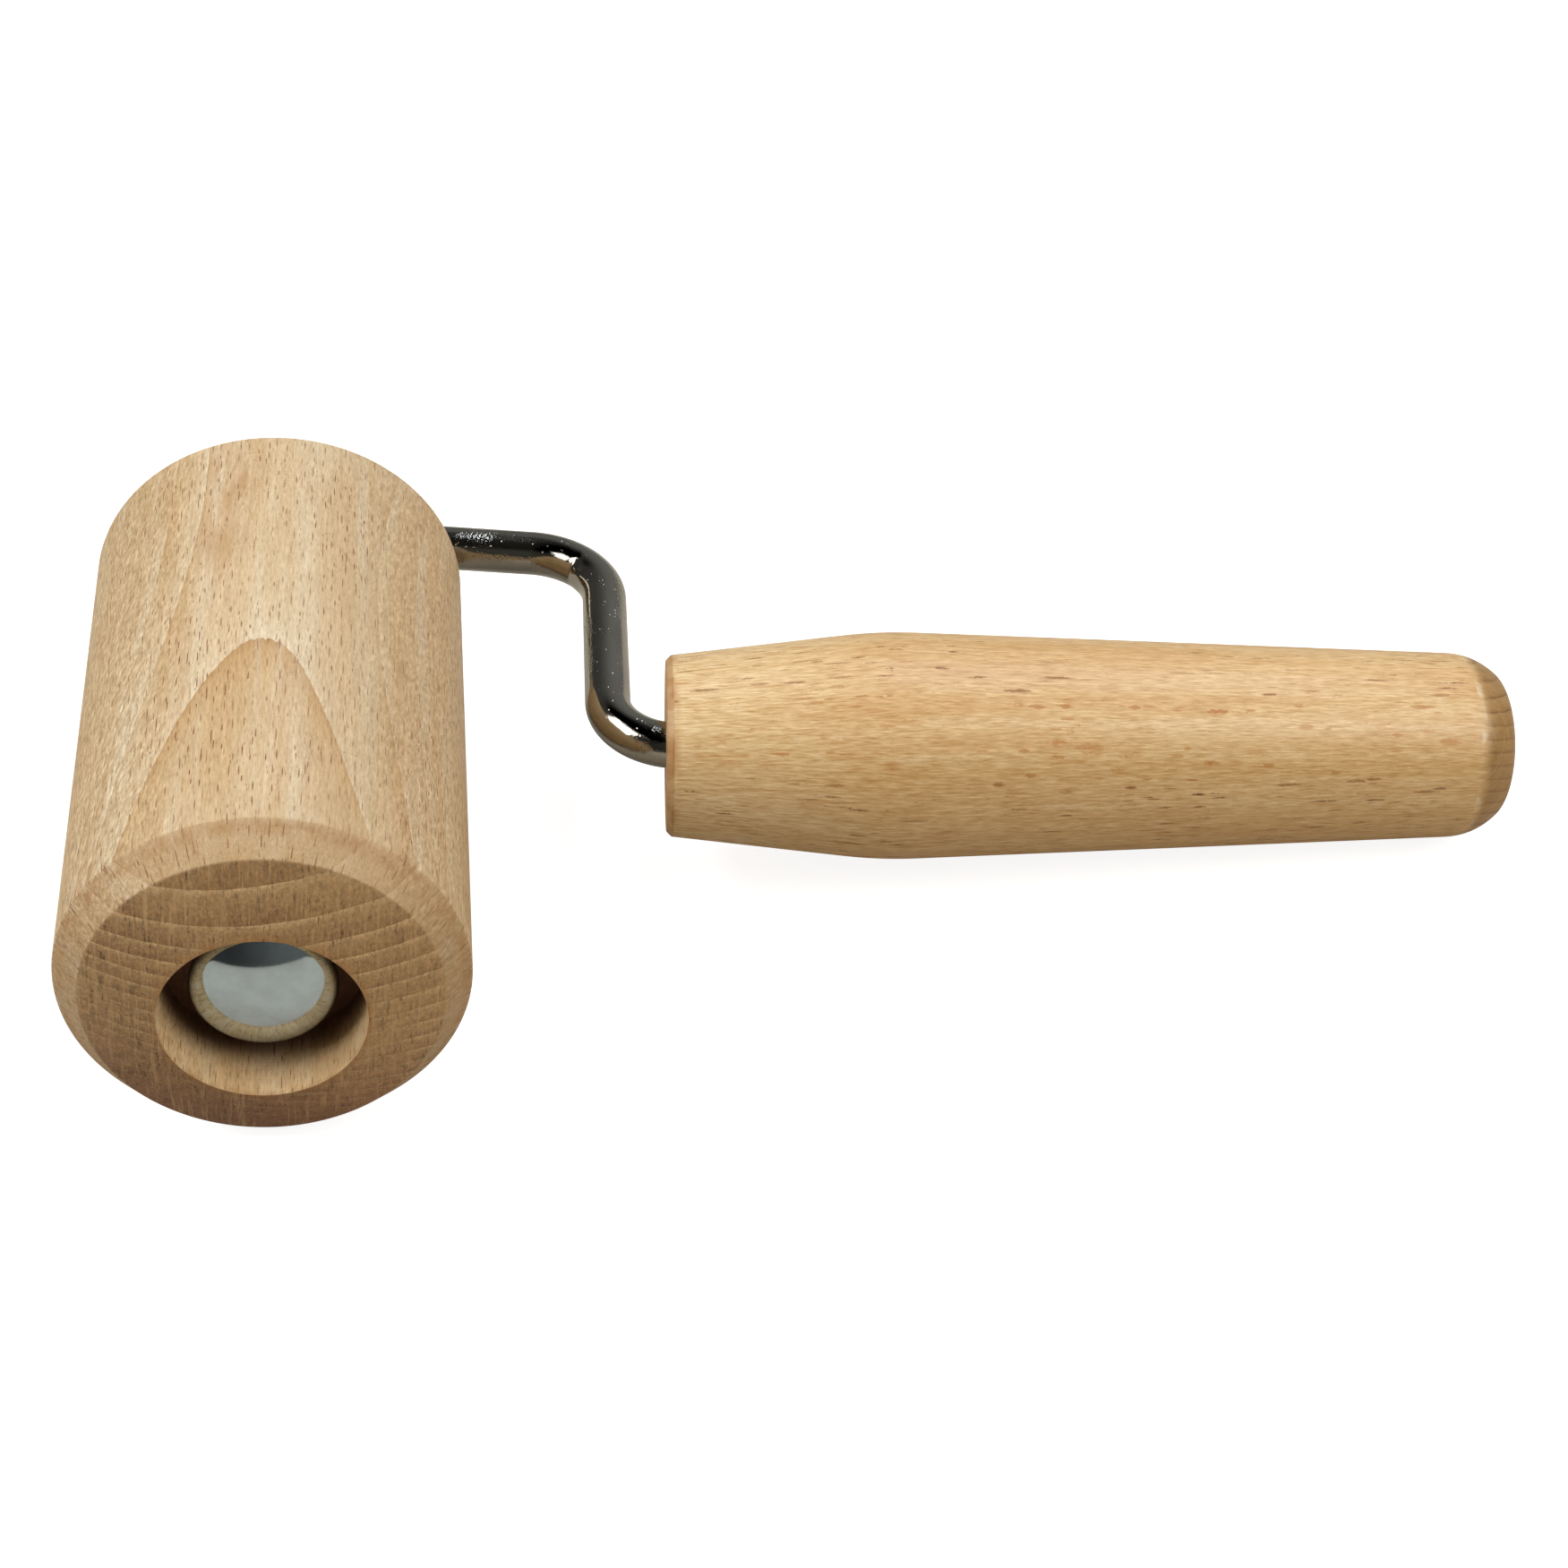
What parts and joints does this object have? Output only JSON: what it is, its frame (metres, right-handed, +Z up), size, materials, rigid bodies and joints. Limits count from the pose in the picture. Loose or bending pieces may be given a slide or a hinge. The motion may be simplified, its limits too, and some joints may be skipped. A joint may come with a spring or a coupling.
{
  "type": "dough hand roller",
  "caption": "Single-handled dough roller: a beech roller spins on a bent nickel-plated rod set into a tapered beech handle, held by a domed push-on cap.",
  "frame": {"origin": "on the table, below the middle of the tool's box", "axes": "+Z up from the table, +X from the roller towards the handle's butt, +Y along the roller's axle towards the rod's cross arm"},
  "size_m": [0.191, 0.1018, 0.05],
  "materials": {
    "roller_beech": "turned and sanded, unfinished beech with fine flecks",
    "handle_beech": "turned beech with a thin satin lacquer",
    "nickel_rod": "bright nickel plate on bent steel rod",
    "cap_steel": "bright plated pressing",
    "spring_steel": "blued spring steel",
    "washer_steel": "zinc-plated steel"
  },
  "bodies": {
    "handle_and_rod": {"bent_rod": "nickel_rod", "handle": "handle_beech", "end_cap": "cap_steel", "spring_nut": "spring_steel", "front_washer": "washer_steel", "rear_washer": "washer_steel"},
    "roller": {"roller": "roller_beech"}
  },
  "joints": [
    {"name": "roller_spin", "type": "hinge", "parent": "handle_and_rod", "child": "roller", "pos_m": [-0.07048, -0.00342, 0.025], "axis": [0, 1, 0], "continuous": true}
  ]
}
